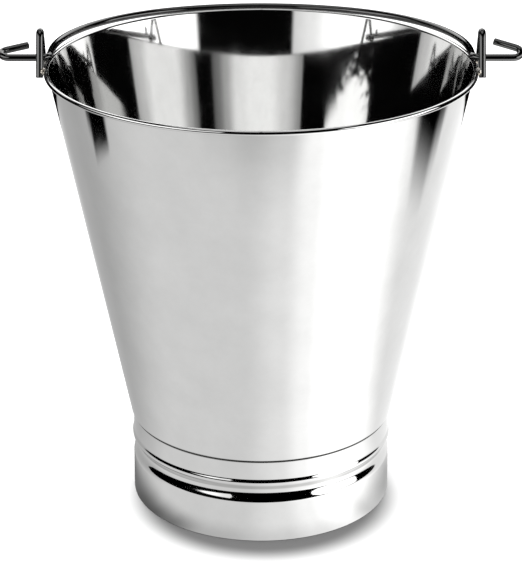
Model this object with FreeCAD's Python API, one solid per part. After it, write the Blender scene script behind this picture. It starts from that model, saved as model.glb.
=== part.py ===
import FreeCAD, Part
import math
import os

from FreeCAD import Vector

# A seamless stainless steel milk pail: a drawn conical body with a wired rim, standing on a
# swaged foot ring, with two bent-wire ears and a wire bail that swings in them.
# Millimetres. Origin at the centre of the foot on the floor, +Z up, ears on X.
# The bail is stored lying back on the rim, towards +Y.

# Driving dimensions
RIM_DIAMETER = 300.0          # over the rolled rim
RIM_HEIGHT = 321.0            # floor to the centre of the rim wire
RIM_WIRE_RADIUS = 1.1
RIM_WIRE_PLAY = 0.05          # between the wire and the sheet rolled round it
BODY_SHEET = 0.6
BODY_FOOT_RADIUS = 95.3       # outside of the cone where its bottom corner starts
BOTTOM_HEIGHT = 62.6          # floor to the underside of the drawn bottom
BOTTOM_CORNER_RADIUS = 2.5
BOTTOM_DISH_RADIUS = 85.0
BOTTOM_DISH_RISE = 3.0
CURL_END_ANGLE = -130.0       # where the rolled edge stops, seen in section

RING_SHEET = 1.0
RING_TOP_RADIUS = 93.6
RING_FLOOR_RADIUS = 94.4
RING_HEM_HEIGHT = 8.0
RING_EDGE_RADIUS = 0.7
RING_TOP_ROUND = 0.9
SWAGE = (                     # turning points: height, and how far the ring stands out there
    (28.9, 0.0),
    (38.5, -2.5),
    (45.6, 0.9),
    (49.0, 0.0),
)
SWAGE_STEP = 0.5              # spacing of the points that shape the swage
FOOT_WELD_LEG = 2.4

EAR_WIRE_RADIUS = 2.5
EAR_X = 152.0                 # centre plane of each ear
EAR_FOOT_HALF_SPREAD = 14.35
EAR_FOOT_HEIGHT = 317.0
EAR_TOP_HEIGHT = 348.0
EAR_TOP_BEND_RADIUS = 3.6
EAR_WELD_RADIUS = 2.9
EAR_WELD_INSET = 1.55         # from the foot's spread to where the leg meets the rim

BAIL_WIRE_RADIUS = 2.5
BAIL_PIVOT_ABOVE_RIM = 6.2    # rim wire centre to bail wire centre, in the ears
BAIL_HALF_WIDTH = 146.5
BAIL_REACH = 152.3            # pivot axis to the middle of the bail
BAIL_SHOULDER_RADIUS = 130.0
BAIL_TOP_RADIUS = 175.0
BAIL_RIM_GAP = 0.4            # between bail and rim where the bail lies
EYE_BEND_RADIUS = 6.0
HOOK_REACH = 180.0            # furthest point of the hook's centre line from the pail's axis
HOOK_BEND_RADIUS = 5.8
HOOK_TURN = 154.0
HOOK_TAIL = 16.0
HOOK_TILTS = {-1: 14.0, 1: 24.0}  # how far each hook leans out of the bail's plane
HOOK_END_CHAMFER = 0.6

SAME_PLACE = 0.01             # points nearer than this are one point

# Worked-out sizes
CURL_INNER_RADIUS = RIM_WIRE_RADIUS + RIM_WIRE_PLAY
CURL_OUTER_RADIUS = CURL_INNER_RADIUS + BODY_SHEET
RIM_RADIUS = RIM_DIAMETER / 2 - CURL_OUTER_RADIUS
PIVOT_HEIGHT = RIM_HEIGHT + BAIL_PIVOT_ABOVE_RIM


def export(name, shape):
    """Writes one node, after checking that it is sound."""
    if not shape.isValid():
        raise ValueError(name + " is not a valid solid")
    shape.exportStep("parts/" + name + ".step")


def point(radius, height):
    """A point of a half section, in the XZ plane."""
    return Vector(radius, 0, height)


def on_circle(centre, radius, degrees):
    """A point on a circle in the XZ plane, measured from +X towards +Z."""
    angle = math.radians(degrees)
    return centre + Vector(radius * math.cos(angle), 0, radius * math.sin(angle))


def line(start, end):
    return Part.LineSegment(start, end).toShape()


def arc(start, middle, end):
    return Part.Arc(start, middle, end).toShape()


def revolve(edges):
    """A solid of revolution about Z from the closed outline of its half section."""
    outline = Part.Wire(Part.__sortEdges__(edges))
    solid = Part.Face(outline).revolve(Vector(0, 0, 0), Vector(0, 0, 1), 360)
    if solid.Volume < 0:
        solid.reverse()
    return solid


def cone_angle():
    """Half angle of the body, in degrees: the wall leaves the curl as a tangent."""
    run = RIM_RADIUS - CURL_INNER_RADIUS - BODY_FOOT_RADIUS
    rise = RIM_HEIGHT - BOTTOM_HEIGHT - BOTTOM_CORNER_RADIUS
    return math.degrees(math.atan2(run, rise))


def wall_line(curl_radius, corner_radius, flat_height):
    """The wall's face from the curl to the bottom corner, and the corner's arc to the flat bottom."""
    lean = math.radians(cone_angle())
    down = Vector(-math.sin(lean), 0, -math.cos(lean))
    inward = Vector(-math.cos(lean), 0, math.sin(lean))
    top = point(RIM_RADIUS, RIM_HEIGHT) + inward * curl_radius
    corner_height = flat_height + corner_radius
    wall_end_height = corner_height + corner_radius * inward.z * -1
    wall_end = top + down * ((wall_end_height - top.z) / down.z)
    corner_centre = wall_end + inward * corner_radius
    corner_middle = corner_centre + (down - inward).normalize() * corner_radius
    flat_start = corner_centre - Vector(0, 0, corner_radius)
    return top, wall_end, corner_middle, flat_start


def body_shell():
    """Wall, bottom and rolled rim, drawn from one sheet."""
    centre = point(RIM_RADIUS, RIM_HEIGHT)
    dish_curve = (BOTTOM_DISH_RADIUS**2 + BOTTOM_DISH_RISE**2) / (2 * BOTTOM_DISH_RISE)
    half_dish = BOTTOM_DISH_RADIUS / 2
    half_dish_rise = BOTTOM_DISH_RISE - dish_curve + math.sqrt(dish_curve**2 - half_dish**2)
    leaves_at = 180 - cone_angle()
    over_the_top = (leaves_at + CURL_END_ANGLE) / 2
    outer = wall_line(CURL_INNER_RADIUS, BOTTOM_CORNER_RADIUS, BOTTOM_HEIGHT)
    inner = wall_line(CURL_OUTER_RADIUS, BOTTOM_CORNER_RADIUS - BODY_SHEET, BOTTOM_HEIGHT + BODY_SHEET)
    edges = []
    for (top, wall_end, corner_middle, flat_start), curl_radius in (
        (outer, CURL_INNER_RADIUS),
        (inner, CURL_OUTER_RADIUS),
    ):
        dish_start = point(BOTTOM_DISH_RADIUS, flat_start.z)
        dish_centre = point(0, flat_start.z + BOTTOM_DISH_RISE)
        dish_middle = point(half_dish, flat_start.z + half_dish_rise)
        curl_start = on_circle(centre, curl_radius, CURL_END_ANGLE)
        edges += [
            arc(curl_start, on_circle(centre, curl_radius, over_the_top), top),
            line(top, wall_end),
            arc(wall_end, corner_middle, flat_start),
            line(flat_start, dish_start),
            arc(dish_start, dish_middle, dish_centre),
        ]
    curl_end = on_circle(centre, CURL_INNER_RADIUS, CURL_END_ANGLE)
    edges.append(line(curl_end, on_circle(centre, CURL_OUTER_RADIUS, CURL_END_ANGLE)))
    dish_top = BOTTOM_HEIGHT + BOTTOM_DISH_RISE
    edges.append(line(point(0, dish_top), point(0, dish_top + BODY_SHEET)))
    return revolve(edges)


def rim_wire():
    """The round wire that the rim is rolled over."""
    return Part.makeTorus(RIM_RADIUS, RIM_WIRE_RADIUS, Vector(0, 0, RIM_HEIGHT))


def swage_offset(height):
    """How far the ring stands out at a height, easing from one turning point to the next."""
    for (low, start), (high, end) in zip(SWAGE, SWAGE[1:]):
        if low <= height <= high:
            share = (1 - math.cos(math.pi * (height - low) / (high - low))) / 2
            return start + (end - start) * share
    return 0.0


def ring_radius(height):
    """Outside radius of the foot ring: a near-straight band with a groove under a shoulder."""
    share = height / BOTTOM_HEIGHT
    band = RING_FLOOR_RADIUS + (RING_TOP_RADIUS - RING_FLOOR_RADIUS) * share
    return band + swage_offset(height)


def foot_ring():
    """The swaged band under the body, hemmed inwards along the floor."""
    swage_foot, swage_top = SWAGE[0][0], SWAGE[-1][0]
    steps = round((swage_top - swage_foot) / SWAGE_STEP)
    heights = [swage_foot + (swage_top - swage_foot) * i / steps for i in range(steps + 1)]
    round_foot = point(RING_TOP_RADIUS, BOTTOM_HEIGHT - RING_TOP_ROUND)
    round_end = point(RING_TOP_RADIUS - RING_TOP_ROUND, BOTTOM_HEIGHT)
    inner_top = point(RING_TOP_RADIUS - RING_SHEET, BOTTOM_HEIGHT)
    faces = ((0, RING_EDGE_RADIUS, round_foot), (RING_SHEET, RING_HEM_HEIGHT, inner_top))
    edges = []
    for depth, lowest, top in faces:
        shaped = [point(ring_radius(z) - depth, z) for z in heights]
        swage = Part.BSplineCurve()
        swage.interpolate(shaped)
        edges += [
            line(point(ring_radius(lowest) - depth, lowest), shaped[0]),
            swage.toShape(),
            line(shaped[-1], top),
        ]
    lift = RING_TOP_ROUND * math.sqrt(0.5)
    round_centre = point(round_end.x, round_foot.z)
    edges += [
        arc(round_foot, round_centre + point(lift, lift), round_end),
        line(round_end, inner_top),
    ]
    outside = ring_radius(RING_EDGE_RADIUS)
    inside = ring_radius(RING_HEM_HEIGHT) - 2 * RING_SHEET
    hem_middle = point(ring_radius(RING_HEM_HEIGHT) - RING_SHEET, RING_HEM_HEIGHT)
    turn = RING_EDGE_RADIUS * math.sqrt(0.5)
    outer_corner = point(outside - RING_EDGE_RADIUS, RING_EDGE_RADIUS)
    inner_corner = point(inside + RING_EDGE_RADIUS, RING_EDGE_RADIUS)
    outer_start = point(outside, RING_EDGE_RADIUS)
    inner_end = point(inside, RING_EDGE_RADIUS)
    outer_floor = point(outer_corner.x, 0)
    inner_floor = point(inner_corner.x, 0)
    hem_end = point(inside, RING_HEM_HEIGHT)
    edges += [
        arc(outer_start, outer_corner + point(turn, -turn), outer_floor),
        line(outer_floor, inner_floor),
        arc(inner_floor, inner_corner + point(-turn, -turn), inner_end),
        line(inner_end, hem_end),
        line(hem_end, hem_middle),
    ]
    return revolve(edges)


def foot_weld():
    """The fillet weld that holds the ring to the underside of the body."""
    corner = point(RING_TOP_RADIUS - RING_SHEET, BOTTOM_HEIGHT)
    inner = corner - Vector(FOOT_WELD_LEG, 0, 0)
    lower = corner - Vector(0, 0, FOOT_WELD_LEG)
    wall = point(ring_radius(lower.z) - RING_SHEET, lower.z)
    return revolve([line(corner, inner), line(inner, wall), line(wall, corner)])


def wire_along(edges, radius):
    """A round wire that follows joined edges, in order from its first end."""
    path = Part.Wire(edges)
    start = edges[0].valueAt(edges[0].FirstParameter)
    heading = edges[0].tangentAt(edges[0].FirstParameter)
    section = Part.Wire([Part.makeCircle(radius, start, heading)])
    return path.makePipeShell([section], True, False)


def ear_arch(side):
    """One ear: a wire bent to a pointed arch, standing against the outside of the rim."""
    bend_height = EAR_TOP_HEIGHT - EAR_WIRE_RADIUS - EAR_TOP_BEND_RADIUS
    rise = bend_height - EAR_FOOT_HEIGHT
    to_centre = math.hypot(EAR_FOOT_HALF_SPREAD, rise)
    lean = math.atan2(EAR_FOOT_HALF_SPREAD, rise) - math.asin(EAR_TOP_BEND_RADIUS / to_centre)

    def place(y, z):
        return Vector(side * EAR_X, y, z)

    touch_y = EAR_TOP_BEND_RADIUS * math.cos(lean)
    touch_z = bend_height + EAR_TOP_BEND_RADIUS * math.sin(lean)
    apex = place(0, bend_height + EAR_TOP_BEND_RADIUS)
    return wire_along(
        [
            line(place(-EAR_FOOT_HALF_SPREAD, EAR_FOOT_HEIGHT), place(-touch_y, touch_z)),
            arc(place(-touch_y, touch_z), apex, place(touch_y, touch_z)),
            line(place(touch_y, touch_z), place(EAR_FOOT_HALF_SPREAD, EAR_FOOT_HEIGHT)),
        ],
        EAR_WIRE_RADIUS,
    )


def ear_welds(side, ear):
    """The two weld beads that join an ear's legs to the rolled rim."""
    reach = EAR_X - EAR_WIRE_RADIUS
    half_spread = EAR_FOOT_HALF_SPREAD - EAR_WELD_INSET
    rolled_rim = Part.makeTorus(RIM_RADIUS, CURL_OUTER_RADIUS, Vector(0, 0, RIM_HEIGHT))
    beads = []
    for leg in (-1, 1):
        bead = Part.makeSphere(EAR_WELD_RADIUS, Vector(side * reach, leg * half_spread, RIM_HEIGHT))
        beads += bead.cut(rolled_rim).cut(ear).Solids
    return Part.makeCompound(beads)


def hook_point(side, x, out):
    """A point of one hook, x from the pail's axis and out from the wire that runs through the ear."""
    tilt = math.radians(HOOK_TILTS[side])
    return Vector(side * x, out * math.cos(tilt), out * math.sin(tilt))


def hook_bend_point(side, turn):
    """A point of the hook's bend, after that much turn in radians."""
    x = HOOK_REACH - HOOK_BEND_RADIUS * (1 - math.sin(turn))
    return hook_point(side, x, HOOK_BEND_RADIUS * (1 - math.cos(turn)))


def hook_tail_point(side):
    """The hook's free end."""
    turn = math.radians(HOOK_TURN)
    x = HOOK_REACH - HOOK_BEND_RADIUS * (1 - math.sin(turn)) + HOOK_TAIL * math.cos(turn)
    return hook_point(side, x, HOOK_BEND_RADIUS * (1 - math.cos(turn)) + HOOK_TAIL * math.sin(turn))


def bail_shoulder():
    """Where the shoulder arcs' centres are, and how far each shoulder turns, in radians."""
    centre_x = BAIL_HALF_WIDTH - BAIL_SHOULDER_RADIUS
    drop = math.sqrt((BAIL_TOP_RADIUS - BAIL_SHOULDER_RADIUS) ** 2 - centre_x**2)
    return centre_x, BAIL_REACH - BAIL_TOP_RADIUS + drop, math.atan2(drop, centre_x)


def shoulder_point(side, turn):
    centre_x, centre_y, _ = bail_shoulder()
    x = centre_x + BAIL_SHOULDER_RADIUS * math.cos(turn)
    return Vector(side * x, centre_y + BAIL_SHOULDER_RADIUS * math.sin(turn), 0)


def half_bail(side):
    """Edges from the free end of one hook, through the ear, to the end of the shoulder."""
    turn = math.radians(HOOK_TURN)
    bend_start = hook_bend_point(side, 0)
    bend_end = hook_bend_point(side, turn)
    eye_outer = Vector(side * (BAIL_HALF_WIDTH + EYE_BEND_RADIUS), 0, 0)
    eye_inner = Vector(side * BAIL_HALF_WIDTH, EYE_BEND_RADIUS, 0)
    inset = EYE_BEND_RADIUS * (1 - math.sqrt(0.5))
    eye_middle = Vector(side * (BAIL_HALF_WIDTH + inset), inset, 0)
    shoulder_turn = bail_shoulder()[2]
    shoulder_start, shoulder_middle, shoulder_end = (
        shoulder_point(side, share * shoulder_turn) for share in (0, 0.5, 1)
    )
    return [
        line(hook_tail_point(side), bend_end),
        arc(bend_end, hook_bend_point(side, turn / 2), bend_start),
        line(bend_start, eye_outer),
        arc(eye_outer, eye_middle, eye_inner),
        line(eye_inner, shoulder_start),
        arc(shoulder_start, shoulder_middle, shoulder_end),
    ]


def bail():
    """The handle: one wire, hooked through both ears, lying back on the rim."""
    turn = bail_shoulder()[2]
    top = arc(shoulder_point(-1, turn), Vector(0, BAIL_REACH, 0), shoulder_point(1, turn))
    wire = wire_along(half_bail(-1) + [top] + list(reversed(half_bail(1))), BAIL_WIRE_RADIUS)
    tails = (hook_tail_point(-1), hook_tail_point(1))
    ends = [
        edge
        for edge in wire.Edges
        if min((edge.CenterOfMass - tail).Length for tail in tails) < SAME_PLACE
    ]
    wire = wire.makeChamfer(HOOK_END_CHAMFER, ends)
    lying_gap = CURL_OUTER_RADIUS + BAIL_WIRE_RADIUS + BAIL_RIM_GAP
    lying_height = math.sqrt(lying_gap**2 - (BAIL_REACH - RIM_RADIUS) ** 2)
    dip = math.degrees(math.asin((BAIL_PIVOT_ABOVE_RIM - lying_height) / BAIL_REACH))
    wire.rotate(Vector(0, 0, 0), Vector(1, 0, 0), -dip)
    wire.translate(Vector(0, 0, PIVOT_HEIGHT))
    print("bail dips %.3f degrees at rest and swings %.2f degrees" % (dip, 180 + 2 * dip))
    return wire


os.makedirs("parts", exist_ok=True)
export("body_shell", body_shell())
export("rim_wire", rim_wire())
export("foot_ring", foot_ring())
export("foot_weld", foot_weld())
for side, hand in ((-1, "left"), (1, "right")):
    ear = ear_arch(side)
    export("ear_" + hand, ear)
    export("ear_welds_" + hand, ear_welds(side, ear))
export("bail", bail())
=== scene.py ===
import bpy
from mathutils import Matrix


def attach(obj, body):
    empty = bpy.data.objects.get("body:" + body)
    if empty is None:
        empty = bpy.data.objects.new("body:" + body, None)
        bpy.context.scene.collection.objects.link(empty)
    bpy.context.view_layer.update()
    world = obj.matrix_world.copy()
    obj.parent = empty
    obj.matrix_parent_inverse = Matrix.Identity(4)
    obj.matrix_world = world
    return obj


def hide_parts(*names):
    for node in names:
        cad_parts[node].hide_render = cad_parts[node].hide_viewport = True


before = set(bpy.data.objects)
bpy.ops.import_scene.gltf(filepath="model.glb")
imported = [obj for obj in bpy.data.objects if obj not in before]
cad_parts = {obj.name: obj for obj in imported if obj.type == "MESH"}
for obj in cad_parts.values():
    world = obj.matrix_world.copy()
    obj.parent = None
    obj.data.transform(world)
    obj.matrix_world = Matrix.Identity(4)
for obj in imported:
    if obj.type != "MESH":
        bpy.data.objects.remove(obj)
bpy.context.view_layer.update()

import math

import bmesh
import bpy
from mathutils import Matrix, Vector, noise

# A seamless stainless steel milk pail: drawn body with a wired rim, swaged foot ring, two
# bent-wire ears and a wire bail. The sizes below repeat part.py's, in millimetres, so that the
# pieces that replace CAD nodes have the same shapes in the same places.
MM = 0.001

RIM_RADIUS = 148.25           # pail's axis to the centre of the rim wire
RIM_HEIGHT = 321.0
CURL_INNER_RADIUS = 1.15
BODY_SHEET = 0.6
BODY_FOOT_RADIUS = 95.3
BOTTOM_HEIGHT = 62.6
BOTTOM_CORNER_RADIUS = 2.5
BOTTOM_DISH_RADIUS = 85.0
BOTTOM_DISH_RISE = 3.0
CURL_END_ANGLE = -130.0

RING_SHEET = 1.0
RING_TOP_RADIUS = 93.6
RING_FLOOR_RADIUS = 94.4
RING_HEM_HEIGHT = 8.0
RING_EDGE_RADIUS = 0.7
RING_TOP_ROUND = 0.9
SWAGE = (                     # turning points: height, and how far the ring stands out there
    (28.9, 0.0),
    (38.5, -2.5),
    (45.6, 0.9),
    (49.0, 0.0),
)
FOOT_WELD_LEG = 2.4

EAR_WIRE_RADIUS = 2.5
EAR_X = 152.0
EAR_FOOT_HALF_SPREAD = 14.35
EAR_FOOT_HEIGHT = 317.0
EAR_TOP_HEIGHT = 348.0
EAR_TOP_BEND_RADIUS = 3.6
EAR_WELD_RADIUS = 2.9
EAR_WELD_INSET = 1.55

BAIL_WIRE_RADIUS = 2.5
PIVOT_HEIGHT = 327.2
BAIL_HALF_WIDTH = 146.5
BAIL_REACH = 152.3
BAIL_SHOULDER_RADIUS = 130.0
BAIL_TOP_RADIUS = 175.0
BAIL_DIP = 1.473              # degrees below level, where it lies on the rim
EYE_BEND_RADIUS = 6.0
HOOK_REACH = 180.0
HOOK_BEND_RADIUS = 5.8
HOOK_TURN = 154.0
HOOK_TAIL = 16.0
HOOK_TILTS = {-1: 14.0, 1: 24.0}

# How finely the pieces are meshed
ROUND_STEPS = 320
WELD_RIPPLES = 240            # round the foot weld
STEPS_PER_RIPPLE = 6
WIRE_SIDES = 32
WALL_STEP = 6.0
ARC_STEP = 6.0                # degrees
RING_STEP = 0.42
WIRE_STEP = 1.2
GUARD = 0.12                  # a narrow strip beside each bend keeps the shading of flats true
EDGE_EASE = 0.5               # on the cut ends of wires

# The weld beads: bulges as shares of their size
FOOT_WELD_CROWN = 0.86
RIPPLE_DEPTH = 0.08
RIPPLE_LAG = 0.35
BEAD_SIZE = 0.93
BEAD_LAYER = 0.05
BEAD_LUMP = 0.10

# Finishes. Colours are linear.
STEEL_DULL = (0.585, 0.585, 0.58)
STEEL_CLEAN = (0.635, 0.635, 0.63)
# Painted shade: a near-black colour laid in the crevice between the foot ring and the body
SEAM_SHADE_COLOUR = (0.05, 0.05, 0.048)
# Painted shade: the wires' steel is coloured near-black for the dark room they mirror; the two tones
# follow the draw marks
WIRE_DARK = (0.08, 0.08, 0.08)
WIRE_LIGHT = (0.13, 0.13, 0.128)
WELD_GREY = (0.50, 0.495, 0.48)
WELD_STRAW = (0.52, 0.47, 0.39)
HIDDEN_WIRE_DARK = (0.42, 0.42, 0.41)
HIDDEN_WIRE_LIGHT = (0.52, 0.52, 0.51)
FLOOR_WHITE = (0.86, 0.86, 0.86)
HEAT_HEIGHT = 307.0           # middle of the sheet that welding the ears puckered
HEAT_FULL = 12.0              # the pucker is whole this near it
HEAT_END = 62.0
# The painted shade in the seam between the foot ring and the body
SEAM_CLEAR = 2.1              # from the bottom corner's centre: past the inside of the sheet
SEAM_FULL = 2.3
SEAM_RADII = (93.0, 93.4)     # from the axis: where the painted seam shade starts, and is whole
SEAM_LOW = (61.3, 61.9)       # heights: where it starts, and is whole
SEAM_HIGH = (63.4, 63.8)      # and where it thins out, and is gone

# Camera: metres, degrees below level, and millimetres
CAMERA_PLACE = (0.0, -1.413, 0.7376)
CAMERA_PITCH = 22.296
CAMERA_LENS = 146.05
SENSOR_WIDTH = 36.0


# ---------------------------------------------------------------- outlines and paths


def straight(start, end, step=WALL_STEP):
    """Points from start to just before end, with a guard strip at both ends."""
    start, end = Vector(start), Vector(end)
    length = (end - start).length
    guard = min(GUARD, length / 4)
    count = max(1, math.ceil((length - 2 * guard) / step))
    marks = [guard + (length - 2 * guard) * i / count for i in range(count + 1)]
    return [start.lerp(end, mark / length) for mark in [0.0] + marks]


def arc(centre, radius, start, end, step=ARC_STEP):
    """Points along an arc in degrees, from start to just before end."""
    count = max(2, math.ceil(abs(end - start) / step))
    angles = [math.radians(start + (end - start) * i / count) for i in range(count)]
    return [Vector(centre) + Vector((math.cos(a), math.sin(a))) * radius for a in angles]


def cone_angle():
    """Half angle of the body in degrees."""
    run = RIM_RADIUS - CURL_INNER_RADIUS - BODY_FOOT_RADIUS
    rise = RIM_HEIGHT - BOTTOM_HEIGHT - BOTTOM_CORNER_RADIUS
    return math.degrees(math.atan2(run, rise))


def body_face(curl_radius, corner_radius, flat_height):
    """Half section of one face of the sheet, from the middle of the bottom to the curl's end."""
    lean = math.radians(cone_angle())
    down = Vector((-math.sin(lean), -math.cos(lean)))
    inward = Vector((-math.cos(lean), math.sin(lean)))
    top = Vector((RIM_RADIUS, RIM_HEIGHT)) + inward * curl_radius
    foot_height = flat_height + corner_radius * (1 - inward.y)
    foot = top + down * ((foot_height - top.y) / down.y)
    corner = foot + inward * corner_radius
    dish_curve = (BOTTOM_DISH_RADIUS**2 + BOTTOM_DISH_RISE**2) / (2 * BOTTOM_DISH_RISE)
    dish_angle = math.degrees(math.asin(BOTTOM_DISH_RADIUS / dish_curve))
    dish_centre = (0, flat_height + BOTTOM_DISH_RISE - dish_curve)
    points = arc(dish_centre, dish_curve, 90, 90 - dish_angle, dish_angle / 16)
    points += straight((BOTTOM_DISH_RADIUS, flat_height), (corner.x, flat_height))
    points += arc(corner, corner_radius, -90, -cone_angle())
    points += straight(foot, top)
    points += arc((RIM_RADIUS, RIM_HEIGHT), curl_radius, 180 - cone_angle(), CURL_END_ANGLE)
    return points


def body_section():
    """The drawn sheet's outline, from the underside's middle round the rolled edge and back inside."""
    inner_corner = BOTTOM_CORNER_RADIUS - BODY_SHEET
    outside = body_face(CURL_INNER_RADIUS, BOTTOM_CORNER_RADIUS, BOTTOM_HEIGHT)
    inside = body_face(CURL_INNER_RADIUS + BODY_SHEET, inner_corner, BOTTOM_HEIGHT + BODY_SHEET)
    angle = math.radians(CURL_END_ANGLE)
    reach = CURL_INNER_RADIUS + BODY_SHEET / 2
    edge_centre = Vector((RIM_RADIUS, RIM_HEIGHT)) + Vector((math.cos(angle), math.sin(angle))) * reach
    edge = arc(edge_centre, BODY_SHEET / 2, CURL_END_ANGLE - 180, CURL_END_ANGLE - 360, 30)
    return outside + edge + list(reversed(inside))


def swage_offset(height):
    """How far the ring stands out at a height, easing from one turning point to the next."""
    for (low, start), (high, end) in zip(SWAGE, SWAGE[1:]):
        if low <= height <= high:
            share = (1 - math.cos(math.pi * (height - low) / (high - low))) / 2
            return start + (end - start) * share
    return 0.0


def ring_radius(height):
    """Outside radius of the foot ring: a near-straight band with a groove under a shoulder."""
    share = height / BOTTOM_HEIGHT
    return RING_FLOOR_RADIUS + (RING_TOP_RADIUS - RING_FLOOR_RADIUS) * share + swage_offset(height)


def ring_face(depth, lowest, highest):
    """One face of the ring's sheet, upwards."""
    count = math.ceil((highest - lowest) / RING_STEP)
    heights = [lowest + (highest - lowest) * i / count for i in range(count + 1)]
    return [Vector((ring_radius(z) - depth, z)) for z in heights]


def ring_section():
    """The foot ring's outline: one sheet, folded back on itself along the floor."""
    edge = RING_EDGE_RADIUS
    fold = RING_SHEET / 2
    outside = ring_radius(edge)
    inside = ring_radius(RING_HEM_HEIGHT) - 2 * RING_SHEET
    rounding = RING_TOP_ROUND
    round_centre = (RING_TOP_RADIUS - rounding, BOTTOM_HEIGHT - rounding)
    points = ring_face(0, edge, BOTTOM_HEIGHT - rounding - GUARD)
    points += arc(round_centre, rounding, 0, 90, 10)
    points.append(Vector((round_centre[0], BOTTOM_HEIGHT)))
    points += reversed(ring_face(RING_SHEET, RING_HEM_HEIGHT, BOTTOM_HEIGHT - GUARD))
    points += arc((inside + fold, RING_HEM_HEIGHT - fold), fold, 60, 180, 20)
    points += straight((inside, RING_HEM_HEIGHT - fold), (inside, edge))
    points += arc((inside + edge, edge), edge, 180, 270, 15)
    points += straight((inside + edge, 0), (outside - edge, 0))
    points += arc((outside - edge, edge), edge, -90, 0, 15)
    return points


def path_line(start, end):
    """Points in space from start to just before end."""
    count = max(1, math.ceil((end - start).length / WIRE_STEP))
    return [start.lerp(end, i / count) for i in range(count)]


def path_arc(place, turn, radius):
    """Points of place(angle), from 0 to just before turn, in radians."""
    count = max(4, math.ceil(abs(turn) * radius / WIRE_STEP))
    return [place(turn * i / count) for i in range(count)]


def ear_path(side):
    """The ear's wire: a pointed arch in the plane that touches the rim."""
    bend_height = EAR_TOP_HEIGHT - EAR_WIRE_RADIUS - EAR_TOP_BEND_RADIUS
    rise = bend_height - EAR_FOOT_HEIGHT
    to_centre = math.hypot(EAR_FOOT_HALF_SPREAD, rise)
    lean = math.atan2(EAR_FOOT_HALF_SPREAD, rise) - math.asin(EAR_TOP_BEND_RADIUS / to_centre)

    def bend(turn):
        angle = math.pi - lean - turn
        y = EAR_TOP_BEND_RADIUS * math.cos(angle)
        return Vector((side * EAR_X, y, bend_height + EAR_TOP_BEND_RADIUS * math.sin(angle)))

    foot = Vector((side * EAR_X, -EAR_FOOT_HALF_SPREAD, EAR_FOOT_HEIGHT))
    far_foot = Vector((side * EAR_X, EAR_FOOT_HALF_SPREAD, EAR_FOOT_HEIGHT))
    whole_turn = math.pi - 2 * lean
    points = path_line(foot, bend(0))
    points += path_arc(bend, whole_turn, EAR_TOP_BEND_RADIUS)
    return points + path_line(bend(whole_turn), far_foot) + [far_foot]


def hook_path(side):
    """One hook, from its free end to where it runs level through the ear."""
    tilt = math.radians(HOOK_TILTS[side])
    whole_turn = math.radians(HOOK_TURN)

    def place(x, out):
        return Vector((side * x, out * math.cos(tilt), out * math.sin(tilt)))

    def bend(turn):
        x = HOOK_REACH - HOOK_BEND_RADIUS * (1 - math.sin(whole_turn - turn))
        return place(x, HOOK_BEND_RADIUS * (1 - math.cos(whole_turn - turn)))

    end_x = HOOK_REACH - HOOK_BEND_RADIUS * (1 - math.sin(whole_turn)) + HOOK_TAIL * math.cos(whole_turn)
    end_out = HOOK_BEND_RADIUS * (1 - math.cos(whole_turn)) + HOOK_TAIL * math.sin(whole_turn)
    points = path_line(place(end_x, end_out), bend(0))
    return points + path_arc(bend, whole_turn, HOOK_BEND_RADIUS)


def half_bail_path(side):
    """From one hook's free end, through the ear, to the middle of the bail."""
    centre_x = BAIL_HALF_WIDTH - BAIL_SHOULDER_RADIUS
    drop = math.sqrt((BAIL_TOP_RADIUS - BAIL_SHOULDER_RADIUS) ** 2 - centre_x**2)
    centre_y = BAIL_REACH - BAIL_TOP_RADIUS + drop
    shoulder_turn = math.atan2(drop, centre_x)

    def eye(turn):
        x = BAIL_HALF_WIDTH + EYE_BEND_RADIUS * (1 - math.sin(turn))
        return Vector((side * x, EYE_BEND_RADIUS * (1 - math.cos(turn)), 0))

    def shoulder(turn):
        x = centre_x + BAIL_SHOULDER_RADIUS * math.cos(turn)
        return Vector((side * x, centre_y + BAIL_SHOULDER_RADIUS * math.sin(turn), 0))

    def top(turn):
        x = BAIL_TOP_RADIUS * math.cos(shoulder_turn + turn)
        y = BAIL_REACH - BAIL_TOP_RADIUS + BAIL_TOP_RADIUS * math.sin(shoulder_turn + turn)
        return Vector((side * x, y, 0))

    level_start = Vector((side * (HOOK_REACH - HOOK_BEND_RADIUS), 0, 0))
    points = hook_path(side)
    points += path_line(level_start, eye(0))
    points += path_arc(eye, math.pi / 2, EYE_BEND_RADIUS)
    points += path_line(eye(math.pi / 2), shoulder(0))
    points += path_arc(shoulder, shoulder_turn, BAIL_SHOULDER_RADIUS)
    return points + path_arc(top, math.pi / 2 - shoulder_turn, BAIL_TOP_RADIUS)


def bail_path():
    """The whole handle, lying back on the rim."""
    left, right = half_bail_path(-1), half_bail_path(1)
    points = left + [Vector((0, BAIL_REACH, 0))] + list(reversed(right))
    lie_down = Matrix.Translation((0, 0, PIVOT_HEIGHT)) @ Matrix.Rotation(-math.radians(BAIL_DIP), 4, "X")
    return [lie_down @ point for point in points]


# ---------------------------------------------------------------- meshes


def revolved(section, steps, ripple=None):
    """A shape turned about Z from an outline of (radius, height), closed or ending on the axis."""
    shape = bmesh.new()
    rings = []
    for mark, (radius, height) in enumerate(section):
        count = steps if radius > GUARD / 10 else 1
        ring = []
        for i in range(count):
            angle = 2 * math.pi * i / steps
            grow = ripple(mark, angle) if ripple else 0.0
            r = max(radius + grow, 0) * MM if count > 1 else 0.0
            ring.append(shape.verts.new((r * math.cos(angle), r * math.sin(angle), (height + grow) * MM)))
        rings.append(ring)
    joined = rings[1:] + (rings[:1] if len(rings[0]) > 1 else [])
    for low, high in zip(rings, joined):
        for i in range(steps):
            j = (i + 1) % steps
            corners = [low[i % len(low)], low[j % len(low)], high[j % len(high)], high[i % len(high)]]
            shape.faces.new(list(dict.fromkeys(corners)))
    return shape


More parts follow.
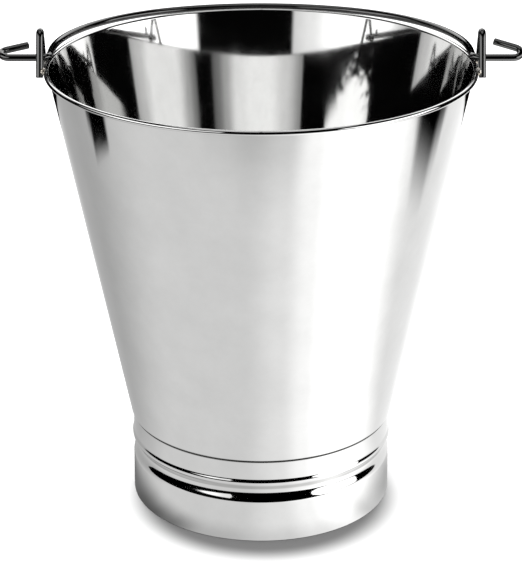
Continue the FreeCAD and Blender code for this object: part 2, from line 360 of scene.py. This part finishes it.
def wire_rings(points, radius):
    """Centre, two directions square to the path, radius and distance along, for each ring of a wire."""
    across = (points[1] - points[0]).orthogonal()
    eased = [math.radians(angle) for angle in (0, 22.5, 45, 67.5)]
    rings = []
    along = 0.0
    for i, point in enumerate(points):
        before, after = points[max(i - 1, 0)], points[min(i + 1, len(points) - 1)]
        tangent = (after - before).normalized()
        across = (across - tangent * across.dot(tangent)).normalized()
        up = tangent.cross(across)
        along += (point - before).length
        if i in (0, len(points) - 1):
            inward = tangent if i == 0 else -tangent
            end = []
            for angle in eased + [math.pi / 2]:
                back = EDGE_EASE * (1 - math.cos(angle))
                shrink = EDGE_EASE * (1 - math.sin(angle))
                end.append((point + inward * back, across, up, radius - shrink, along + back))
            rings += end if i == 0 else reversed(end)
        else:
            rings.append((point, across, up, radius, along))
    return rings


def wire_shape(points, radius):
    """A round wire along a path, its cut ends eased, with a UV map: round it and along it, in metres."""
    shape = bmesh.new()
    layer = shape.loops.layers.uv.new("along_wire")
    previous = None
    for centre, across, up, size, along in wire_rings(points, radius):
        ring = []
        for i in range(WIRE_SIDES):
            angle = 2 * math.pi * i / WIRE_SIDES
            spot = centre + (across * math.cos(angle) + up * math.sin(angle)) * size
            ring.append(shape.verts.new(spot * MM))
        if previous is None:
            shape.faces.new(reversed(ring))
        else:
            old_ring, old_along = previous
            for i in range(WIRE_SIDES):
                j = (i + 1) % WIRE_SIDES
                face = shape.faces.new((old_ring[i], old_ring[j], ring[j], ring[i]))
                shares = ((i, old_along), (i + 1, old_along), (i + 1, along), (i, along))
                for loop, (turn, distance) in zip(face.loops, shares):
                    loop[layer].uv = (turn / WIRE_SIDES * 2 * math.pi * radius * MM, distance * MM)
        previous = (ring, along)
    shape.faces.new(previous[0])
    return shape


def placed(name, data):
    """A new object in the scene."""
    thing = bpy.data.objects.new(name, data)
    bpy.context.collection.objects.link(thing)
    return thing


def finish_piece(name, shape, body, node, material):
    """Turns a bmesh into a smooth piece that stands for one CAD node."""
    bmesh.ops.recalc_face_normals(shape, faces=shape.faces)
    mesh = bpy.data.meshes.new(name)
    shape.to_mesh(mesh)
    shape.free()
    mesh.shade_smooth()
    mesh.materials.append(material)
    piece = placed(name, mesh)
    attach(piece, body)
    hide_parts(node)


def foot_weld_shape():
    """The fillet bead under the bottom: a rounded section with the overlapping ripples of a weld."""
    corner = Vector((RING_TOP_RADIUS - RING_SHEET, BOTTOM_HEIGHT))
    leg = FOOT_WELD_LEG
    bead = arc(corner, leg, 180, 270, 15) + [corner - Vector((0, leg))]
    crown = [corner + (point - corner) * FOOT_WELD_CROWN for point in bead[1:-1]]
    section = [corner, bead[0]] + crown + [bead[-1]]
    middle = (len(section) + 1) / 2

    def ripple(mark, angle):
        if mark in (0, 1, len(section) - 1):
            return 0.0
        lag = RIPPLE_LAG * (mark - middle) ** 2 / middle
        return RIPPLE_DEPTH * math.sin(WELD_RIPPLES * angle + lag)

    return revolved(section, WELD_RIPPLES * STEPS_PER_RIPPLE, ripple)


def ear_weld_shape(side):
    """Two lumpy weld beads, where one ear's legs lie against the rolled rim."""
    shape = bmesh.new()
    reach = EAR_X - EAR_WIRE_RADIUS
    half_spread = EAR_FOOT_HALF_SPREAD - EAR_WELD_INSET
    for leg in (-1, 1):
        centre = Vector((side * reach, leg * half_spread, RIM_HEIGHT))
        made = bmesh.ops.create_icosphere(shape, subdivisions=4, radius=1.0)
        for vertex in made["verts"]:
            direction = vertex.co.normalized()
            layers = BEAD_LAYER * math.sin(9 * direction.z + 3 * direction.y * leg)
            lump = BEAD_LUMP * noise.noise(direction * 1.7 + centre * 0.37)
            size = EAR_WELD_RADIUS * (BEAD_SIZE + layers + lump)
            flattened = Vector((direction.x * 0.9, direction.y * 1.05, direction.z))
            vertex.co = (centre + flattened * size) * MM
    return shape


# ---------------------------------------------------------------- materials


class Nodes:
    """A short way to add nodes to one material and join them."""

    def __init__(self, name, metallic):
        self.material = bpy.data.materials.new(name)
        self.material.use_nodes = True
        self.tree = self.material.node_tree
        self.shader = self.tree.nodes["Principled BSDF"]
        self.shader.inputs["Metallic"].default_value = metallic

    def add(self, kind, inputs=(), output=0, **settings):
        """Adds a node, joins or sets its inputs, and returns one of its outputs."""
        node = self.tree.nodes.new(kind)
        for key, value in settings.items():
            setattr(node, key, value)
        for key, value in dict(inputs).items():
            if isinstance(value, bpy.types.NodeSocket):
                self.tree.links.new(value, node.inputs[key])
            else:
                node.inputs[key].default_value = value
        return node.outputs[output]

    def noise(self, vector, scale, detail=3.0, roughness=0.5):
        wanted = {"Vector": vector, "Scale": scale, "Detail": detail, "Roughness": roughness}
        return self.add("ShaderNodeTexNoise", wanted, "Fac")

    def math(self, operation, *values):
        return self.add("ShaderNodeMath", dict(enumerate(values)), operation=operation)

    def vector_math(self, operation, *values, output=0):
        return self.add("ShaderNodeVectorMath", dict(enumerate(values)), output, operation=operation)

    def between(self, value, low, high, to_low, to_high):
        wanted = {"Value": value, "From Min": low, "From Max": high, "To Min": to_low, "To Max": to_high}
        return self.add("ShaderNodeMapRange", wanted)

    def colours(self, value, first, second):
        """Mixes two colours, given or from other nodes, by a value from 0 to 1."""
        wanted = {0: value}
        for key, colour in ((6, first), (7, second)):
            wanted[key] = colour if isinstance(colour, bpy.types.NodeSocket) else (*colour, 1.0)
        return self.add("ShaderNodeMix", wanted, 2, data_type="RGBA")

    def relief(self, height, depth, below=None):
        """Bump whose full height range is depth, in metres, over another bump if there is one."""
        wanted = {"Height": height, "Distance": depth, "Strength": 1.0}
        if below is not None:
            wanted["Normal"] = below
        return self.add("ShaderNodeBump", wanted, "Normal")

    def finish(self, colour, roughness, normal):
        for key, value in (("Base Color", colour), ("Roughness", roughness), ("Normal", normal)):
            self.tree.links.new(value, self.shader.inputs[key])
        return self.material


def from_axis(nodes, place):
    """The level way out from the pail's axis to a place, how long it is, and the place's height."""
    outwards = nodes.vector_math("MULTIPLY", place, (1.0, 1.0, 0.0))
    radius = nodes.vector_math("LENGTH", outwards, output="Value")
    height = nodes.add("ShaderNodeSeparateXYZ", {"Vector": place}, "Z")
    return outwards, radius, height


def turned_lines(nodes, place, across_scale):
    """Fine lines that run round the pail's axis, as a polishing wheel leaves on a turned body."""
    outwards, radius, height = from_axis(nodes, place)
    direction = nodes.vector_math("NORMALIZE", outwards)
    along_section = nodes.math("MULTIPLY", nodes.math("ADD", height, radius), across_scale)
    stacked = nodes.add("ShaderNodeCombineXYZ", {"Z": along_section})
    spun = nodes.vector_math("MULTIPLY_ADD", direction, (2.2, 2.2, 0.0), stacked)
    return nodes.noise(spun, 1.0, detail=4.0, roughness=0.6)


def fine_scratches(nodes, place, turn, scale, amount):
    """Sparse hairline scratches in one direction, 0 where there are none."""
    turned = nodes.add("ShaderNodeMapping", {"Vector": place, "Rotation": turn, "Scale": scale})
    return nodes.between(nodes.noise(turned, 1.0, detail=1.0), 1 - amount, 1.0, 0.0, 1.0)


def near_ears(nodes, place):
    """1 where the ears are welded on, easing to 0 a few centimetres away."""
    folded = nodes.vector_math("ABSOLUTE", place)
    heated = (RIM_RADIUS * MM, 0.0, HEAT_HEIGHT * MM)
    away = nodes.vector_math("DISTANCE", folded, heated, output="Value")
    return nodes.between(away, HEAT_FULL * MM, HEAT_END * MM, 1.0, 0.0)


def seam_painted_shade(nodes, place):
    """1 in the crevice between the foot ring and the body, where dark shade is painted, and 0 elsewhere.
    """
    _, radius, height = from_axis(nodes, place)
    section = nodes.add("ShaderNodeCombineXYZ", {"X": radius, "Z": height})
    corner = (BODY_FOOT_RADIUS - BOTTOM_CORNER_RADIUS, 0.0, BOTTOM_HEIGHT + BOTTOM_CORNER_RADIUS)
    away = nodes.vector_math("DISTANCE", section, [size * MM for size in corner], output="Value")
    seam_shade = nodes.between(away, SEAM_CLEAR * MM, SEAM_FULL * MM, 0.0, 1.0)
    for value, (low, high), ends in (
        (radius, SEAM_RADII, (0.0, 1.0)),
        (height, SEAM_LOW, (0.0, 1.0)),
        (height, SEAM_HIGH, (1.0, 0.0)),
    ):
        seam_shade = nodes.math("MULTIPLY", seam_shade, nodes.between(value, low * MM, high * MM, *ends))
    return seam_shade


def polished_steel():
    """Mirror-polished sheet: slightly wavy and drawn by heat near the ears, with faint turned
    lines, hairlines, cloudy wiping marks and painted dark shade in the seam."""
    nodes = Nodes("polished_steel_sheet", 1.0)
    place = nodes.add("ShaderNodeTexCoord", output="Object")
    lines = turned_lines(nodes, place, 1100.0)
    broad_lines = turned_lines(nodes, place, 170.0)
    waves = nodes.noise(place, 19.0, detail=1.5, roughness=0.4)
    clouds = nodes.noise(place, 34.0, detail=5.0, roughness=0.65)
    hairs_one = fine_scratches(nodes, place, (0.3, 0.5, 0.2), (900.0, 60.0, 22.0), 0.32)
    hairs_two = fine_scratches(nodes, place, (1.1, 0.2, 1.4), (40.0, 1100.0, 30.0), 0.30)
    hairs = nodes.math("ADD", hairs_one, hairs_two)
    wiped = nodes.between(clouds, 0.3, 0.7, 0.0, 1.0)
    seam_shade = seam_painted_shade(nodes, place)
    # Painted shade: the seam's crevice is darkened towards near-black
    colour = nodes.colours(seam_shade, nodes.colours(wiped, STEEL_DULL, STEEL_CLEAN), SEAM_SHADE_COLOUR)
    haze = nodes.between(clouds, 0.35, 0.75, 0.035, 0.075)
    roughness = nodes.math("ADD", haze, nodes.math("MULTIPLY", hairs, 0.05))
    roughness = nodes.math("MULTIPLY_ADD", seam_shade, 0.4, roughness)
    puckers = nodes.math("MULTIPLY", nodes.noise(place, 48.0, detail=1.0), near_ears(nodes, place))
    normal = nodes.relief(waves, 5.0e-5)
    normal = nodes.relief(puckers, 6.0e-4, normal)
    normal = nodes.relief(broad_lines, 1.6e-6, normal)
    normal = nodes.relief(lines, 3.0e-7, normal)
    normal = nodes.relief(hairs, -4.0e-7, normal)
    return nodes.finish(colour, roughness, normal)


def drawn_wire():
    """Drawn wire, coloured near-black as painted shade for the dark room it mirrors: long draw marks, a
    few dull rubbed places and small dents.
    """
    nodes = Nodes("drawn_steel_wire", 1.0)
    unrolled = nodes.add("ShaderNodeUVMap", output="UV", uv_map="along_wire")
    place = nodes.add("ShaderNodeTexCoord", output="Object")
    stretched = nodes.add("ShaderNodeMapping", {"Vector": unrolled, "Scale": (2600.0, 45.0, 1.0)})
    marks = nodes.noise(stretched, 1.0, detail=4.0, roughness=0.6)
    rubbed = nodes.noise(place, 55.0, detail=4.0, roughness=0.6)
    dents = nodes.noise(place, 160.0, detail=1.0)
    # Painted shade: the wire's colour stays near-black throughout
    colour = nodes.colours(nodes.between(marks, 0.3, 0.7, 0.0, 1.0), WIRE_DARK, WIRE_LIGHT)
    streaks = nodes.between(marks, 0.4, 0.8, 0.06, 0.12)
    roughness = nodes.math("ADD", streaks, nodes.between(rubbed, 0.5, 0.8, 0.0, 0.14))
    normal = nodes.relief(dents, 6.0e-6)
    normal = nodes.relief(marks, 1.5e-6, normal)
    return nodes.finish(colour, roughness, normal)


def weld_metal():
    """Cleaned weld bead: duller and grainier than the sheet, with a trace of straw heat colour."""
    nodes = Nodes("cleaned_weld", 1.0)
    place = nodes.add("ShaderNodeTexCoord", output="Object")
    grain = nodes.noise(place, 2600.0, detail=4.0, roughness=0.6)
    patches = nodes.noise(place, 210.0, detail=3.0)
    tint = nodes.between(patches, 0.35, 0.7, 0.0, 1.0)
    colour = nodes.colours(tint, WELD_GREY, WELD_STRAW)
    roughness = nodes.between(grain, 0.3, 0.75, 0.22, 0.42)
    normal = nodes.relief(grain, 2.5e-5)
    return nodes.finish(colour, roughness, normal)


def plain_wire():
    """The rim's hidden wire: dull, with turned draw marks."""
    nodes = Nodes("dull_rim_wire", 1.0)
    place = nodes.add("ShaderNodeTexCoord", output="Object")
    lines = turned_lines(nodes, place, 3000.0)
    spots = nodes.noise(place, 300.0, detail=3.0)
    colour = nodes.colours(spots, HIDDEN_WIRE_DARK, HIDDEN_WIRE_LIGHT)
    roughness = nodes.between(lines, 0.3, 0.7, 0.25, 0.4)
    normal = nodes.relief(lines, 2.0e-6)
    return nodes.finish(colour, roughness, normal)


# ---------------------------------------------------------------- the studio

# What the polished steel mirrors. Azimuths are in degrees from the front, towards +X.
# The pale floor's painted glow: dimmest at the back left, even in front, brightest at the front right
FLOOR_GLOW = (
    (-180, 1.1),
    (-135, 0.56),
    (-120, 0.56),
    (-60, 0.97),
    (-12, 0.97),
    (12, 1.2),
    (28, 1.55),
    (45, 2.2),
    (60, 2.2),
    (100, 1.15),
    (118, 1.15),
    (150, 1.3),
    (180, 1.1),
)
# Its painted shade beside the foot, as (azimuth, share of the glow left there, how far out it reaches)
FOOT_SHADE = (
    (-180, 0.6, 0.05),
    (-120, 0.2, 0.06),
    (-107, 0.22, 0.045),
    (-86, 0.22, 0.045),
    (-70, 0.15, 0.04),
    (-58, 0.15, 0.033),
    (-45, 0.25, 0.03),
    (-25, 0.7, 0.03),
    (0, 0.84, 0.03),
    (15, 0.84, 0.03),
    (30, 0.8, 0.03),
    (45, 0.7, 0.03),
    (60, 0.4, 0.05),
    (80, 0.35, 0.06),
    (94, 0.4, 0.06),
    (120, 0.6, 0.06),
    (180, 0.6, 0.05),
)
# Where it starts and ends fading into the dark room, as (azimuth, start, end), in metres
FLOOR_EDGE = (
    (-180, 0.80, 0.90),
    (-120, 0.80, 0.90),
    (-107, 0.66, 0.80),
    (-102, 0.54, 0.59),
    (-90, 0.54, 0.57),
    (-86, 0.62, 0.80),
    (-70, 0.66, 0.85),
    (-58, 0.66, 0.85),
    (-45, 0.62, 0.85),
    (-25, 0.45, 0.80),
    (0, 0.36, 0.78),
    (15, 0.38, 0.80),
    (30, 0.55, 0.85),
    (45, 0.80, 1.10),
    (60, 1.20, 1.50),
    (80, 1.20, 1.50),
    (86, 0.58, 0.72),
    (94, 0.44, 0.62),
    (105, 0.44, 0.62),
    (112, 0.50, 0.72),
    (120, 0.74, 0.88),
    (135, 0.80, 0.90),
    (180, 0.80, 0.90),
)
FLOOR_START = 0.094
FLOOR_RINGS = 72
FLOOR_FIRST_STEP = 0.0025     # between the first two rings of the grid
FLOOR_STEP_GROWTH = 0.045
FLOOR_GRID_HEIGHT = 0.0004
GRID_AZIMUTHS = 2             # degrees between the grids' columns
SCREEN_DISTANCE = 1.55
SCREEN_FADE = 1.2             # degrees
# Soft boxes round and over the pail's mouth, as (azimuth, lowest elevation, highest elevation, glow):
SCREENS = {
    "left_soft_box": (
        (-103, 1.5, 29.0, 0.2),
        (-97, 1.5, 31.0, 0.5),
        (-91, 1.5, 34.0, 0.9),
        (-75, 1.5, 34.0, 2.0),
        (-45, 1.5, 34.0, 2.0),
        (-30, 1.5, 34.0, 1.3),
        (-18, 1.5, 34.0, 1.0),
    ),
    "right_soft_box": (
        (37, 0.0, 12.0, 1.6),
        (44, 0.0, 21.3, 2.2),
        (50, -8.0, 22.0, 2.7),
        (58, -11.0, 23.5, 2.7),
        (66, -11.0, 25.3, 2.7),
        (86, -11.0, 25.3, 2.7),
        (91, 0.0, 25.3, 2.7),
        (99, 0.0, 25.0, 2.4),
    ),
    "back_soft_box": (
        (129, 18.0, 45.0, 0.6),
        (150, 18.0, 45.0, 1.6),
        (170, 18.0, 45.0, 2.2),
        (190, 18.0, 45.0, 2.2),
        (209, 18.0, 45.0, 1.9),
        (223, 18.0, 45.0, 0.9),
        (232, 18.0, 45.0, 0.4),
        (240, 18.0, 45.0, 0.2),
    ),
    "top_soft_box": (
        (0, 64.0, 89.0, 0.9),
        (360, 64.0, 89.0, 0.9),
    ),
}
# A low black flag that hides the soft boxes from the foot, as (azimuth, height in metres)
FLAG_HEIGHTS = (
    (-150, 0.02),
    (-140, 0.31),
    (-100, 0.31),
    (-92, 0.24),
    (-66, 0.24),
    (-60, 0.06),
    (-30, 0.06),
    (-22, 0.31),
    (40, 0.31),
    (47, 0.02),
    (86, 0.02),
    (92, 0.31),
    (122, 0.31),
    (130, 0.02),
)
FLAG_DISTANCE = 0.9
FLAG_FOOT = 0.001
# The painted shadow where the pail stands, darkening the floor's colour, in metres
SHADOW_CENTRE = (0.0025, -0.026, 0.0)
SHADOW_START = 0.078
SHADOW_END = 0.104
SHADOW_DEPTH = 0.22
FLOOR_HALF_WIDTH = 8.0
ROOM_WHITE = 2.2
ROOM_AS_MIRRORED = (0.002, 0.002, 0.002)
TOP_LIGHT_PLACE = (-0.2, 0.1, 2.6)
TOP_LIGHT_SIZE = 2.0
TOP_LIGHT_WATTS = 25.0


def eased(value, start, end):
    """0 up to start, 1 from end, and smooth between."""
    share = min(max((value - start) / (end - start), 0.0), 1.0)
    return share * share * (3 - 2 * share)


def at_azimuth(stops, azimuth):
    """The values at an azimuth, between the two nearest stops."""
    for (low, *first), (high, *second) in zip(stops, stops[1:]):
        if low <= azimuth <= high:
            share = eased(azimuth, low, high)
            return [a + (b - a) * share for a, b in zip(first, second)]
    raise ValueError(f"no stops at azimuth {azimuth}")


def around(azimuth, radius, height):
    """A place at an azimuth from the front and a distance from the pail's axis."""
    angle = math.radians(azimuth)
    return (radius * math.sin(angle), -radius * math.cos(angle), height)


def glow_material():
    """Light from a surface, as bright as its points' glow."""
    material = bpy.data.materials.new("soft_glow")
    material.use_nodes = True
    tree = material.node_tree
    tree.nodes.clear()
    glow = tree.nodes.new("ShaderNodeAttribute")
    glow.attribute_name = "glow"
    emission = tree.nodes.new("ShaderNodeEmission")
    output = tree.nodes.new("ShaderNodeOutputMaterial")
    tree.links.new(glow.outputs["Fac"], emission.inputs["Strength"])
    tree.links.new(emission.outputs["Emission"], output.inputs["Surface"])
    material.cycles.emission_sampling = "NONE"
    return material


def glowing_grid(name, rows, material):
    """A mesh over rows of (place, glow), seen only as a reflection."""
    verts = [place for row in rows for place, _ in row]
    width = len(rows[0])
    faces = []
    for i in range(len(rows) - 1):
        for j in range(width - 1):
            corner = i * width + j
            faces.append((corner, corner + 1, corner + width + 1, corner + width))
    mesh = bpy.data.meshes.new(name)
    mesh.from_pydata(verts, [], faces)
    attribute = mesh.attributes.new("glow", "FLOAT", "POINT")
    attribute.data.foreach_set("value", [glow for row in rows for _, glow in row])
    mesh.materials.append(material)
    card = placed(name, mesh)
    card.visible_camera = False
    card.visible_diffuse = False
    card.visible_shadow = False


def floor_glow(material):
    """The pale floor as the steel sees it: a glowing grid with painted shade by the foot, fading outwards
    to a dark room.
    """
    rows = []
    for azimuth in range(-180, 181, GRID_AZIMUTHS):
        (glow,) = at_azimuth(FLOOR_GLOW, azimuth)
        beside, reach = at_azimuth(FOOT_SHADE, azimuth)
        fade_start, fade_end = at_azimuth(FLOOR_EDGE, azimuth)
        row = []
        for step in range(FLOOR_RINGS):
            radius = FLOOR_START + FLOOR_FIRST_STEP * step * (1 + FLOOR_STEP_GROWTH * step)
            near = beside + (1 - beside) * eased(radius, FLOOR_START, FLOOR_START + reach)
            far = 1 - eased(radius, fade_start, fade_end)
            row.append((around(azimuth, radius, FLOOR_GRID_HEIGHT), glow * near * far))
        rows.append(row)
    glowing_grid("floor_seen_in_steel", rows, material)


def soft_box(name, stops, material):
    """A curved screen round the pail's mouth."""
    rows = []
    steps = max(4, round((stops[-1][0] - stops[0][0]) / GRID_AZIMUTHS))
    for step in range(steps + 1):
        azimuth = stops[0][0] + (stops[-1][0] - stops[0][0]) * step / steps
        low, high, glow = at_azimuth(stops, azimuth)
        side = 0.0 if step in (0, steps) else 1.0
        row = []
        for elevation, share in (
            (low - SCREEN_FADE / 2, 0.0),
            (low + SCREEN_FADE / 2, side),
            (high - SCREEN_FADE / 2, side),
            (high + SCREEN_FADE / 2, 0.0),
        ):
            lift = math.radians(elevation)
            height = RIM_HEIGHT * MM + SCREEN_DISTANCE * math.sin(lift)
            row.append((around(azimuth, SCREEN_DISTANCE * math.cos(lift), height), glow * share))
        rows.append(row)
    glowing_grid(name, rows, material)


def flag(material):
    """A low black wall round the front and sides."""
    rows = []
    for azimuth in range(FLAG_HEIGHTS[0][0], FLAG_HEIGHTS[-1][0] + 1, GRID_AZIMUTHS):
        (top,) = at_azimuth(FLAG_HEIGHTS, azimuth)
        rows.append([(around(azimuth, FLAG_DISTANCE, height), 0.0) for height in (FLAG_FOOT, top)])
    glowing_grid("flag", rows, material)


def pale_floor():
    """A plain white floor, with a soft shadow painted into its colour close round what stands on it."""
    shape = bmesh.new()
    bmesh.ops.create_grid(shape, x_segments=8, y_segments=8, size=FLOOR_HALF_WIDTH)
    mesh = bpy.data.meshes.new("pale_floor")
    shape.to_mesh(mesh)
    shape.free()
    nodes = Nodes("pale_floor", 0.0)
    place = nodes.add("ShaderNodeTexCoord", output="Object")
    # Painted shadow: the floor's colour darkens towards SHADOW_DEPTH close round the foot
    away = nodes.vector_math("DISTANCE", place, SHADOW_CENTRE, output="Value")
    inputs = {"Value": away, "From Min": SHADOW_START, "From Max": SHADOW_END, "To Min": SHADOW_DEPTH}
    shade = nodes.add("ShaderNodeMapRange", inputs, interpolation_type="SMOOTHSTEP")
    paint = nodes.colours(shade, (0.0, 0.0, 0.0), FLOOR_WHITE)
    nodes.tree.links.new(paint, nodes.shader.inputs["Base Color"])
    nodes.shader.inputs["Roughness"].default_value = 0.9
    nodes.shader.inputs["Specular IOR Level"].default_value = 0.0
    mesh.materials.append(nodes.material)
    floor = placed("pale_floor", mesh)
    floor.visible_glossy = False


def white_room():
    """Even white light all round. Reflections see a dim room instead, lit by the soft boxes."""
    world = bpy.data.worlds.new("white_room")
    world.use_nodes = True
    tree = world.node_tree
    tree.nodes.clear()
    path = tree.nodes.new("ShaderNodeLightPath")
    white = tree.nodes.new("ShaderNodeBackground")
    white.inputs["Strength"].default_value = ROOM_WHITE
    dim = tree.nodes.new("ShaderNodeBackground")
    dim.inputs["Color"].default_value = (*ROOM_AS_MIRRORED, 1.0)
    mix = tree.nodes.new("ShaderNodeMixShader")
    output = tree.nodes.new("ShaderNodeOutputWorld")
    tree.links.new(path.outputs["Is Glossy Ray"], mix.inputs[0])
    tree.links.new(white.outputs["Background"], mix.inputs[1])
    tree.links.new(dim.outputs["Background"], mix.inputs[2])
    tree.links.new(mix.outputs["Shader"], output.inputs["Surface"])
    bpy.context.scene.world = world


def soft_light(name, place, size, watts):
    """A large soft light over the floor, aimed at the pail's foot and not mirrored in the steel."""
    light = bpy.data.lights.new(name, "AREA")
    light.size = size
    light.energy = watts
    lamp = placed(name, light)
    lamp.location = place
    lamp.rotation_euler = (-Vector(place)).to_track_quat("-Z", "Y").to_euler()
    lamp.visible_glossy = False


def camera():
    """Looks at the pail from the front, a little above."""
    data = bpy.data.cameras.new("front_camera")
    data.sensor_fit = "HORIZONTAL"
    data.sensor_width = SENSOR_WIDTH
    data.lens = CAMERA_LENS
    data.clip_end = 50.0
    viewer = placed("front_camera", data)
    viewer.location = CAMERA_PLACE
    viewer.rotation_euler = (math.radians(90 - CAMERA_PITCH), 0, 0)
    bpy.context.scene.camera = viewer


def studio():
    """Camera, floor and light."""
    camera()
    white_room()
    pale_floor()
    soft_light("top_light", TOP_LIGHT_PLACE, TOP_LIGHT_SIZE, TOP_LIGHT_WATTS)
    glow = glow_material()
    floor_glow(glow)
    for name, stops in SCREENS.items():
        soft_box(name, stops, glow)
    flag(glow)
    bpy.context.scene.view_settings.view_transform = "Standard"


# ---------------------------------------------------------------- the pail


def pail():
    """Every piece, on its body and in its finish."""
    sheet, wire, weld = polished_steel(), drawn_wire(), weld_metal()
    body = revolved(body_section(), ROUND_STEPS)
    finish_piece("pail_body", body, "pail", "body_shell", sheet)
    ring = revolved(ring_section(), ROUND_STEPS)
    finish_piece("pail_foot_ring", ring, "pail", "foot_ring", sheet)
    finish_piece("foot_weld_bead", foot_weld_shape(), "pail", "foot_weld", weld)
    for side, label in ((-1, "left"), (1, "right")):
        ear = wire_shape(ear_path(side), EAR_WIRE_RADIUS)
        finish_piece(f"ear_wire_{label}", ear, "pail", f"ear_{label}", wire)
        beads = ear_weld_shape(side)
        finish_piece(f"ear_weld_beads_{label}", beads, "pail", f"ear_welds_{label}", weld)
    handle = wire_shape(bail_path(), BAIL_WIRE_RADIUS)
    finish_piece("bail_wire", handle, "bail", "bail", wire)
    rim_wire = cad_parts["rim_wire"]
    dull = plain_wire()
    for slot in rim_wire.material_slots:
        slot.material = dull


studio()
pail()
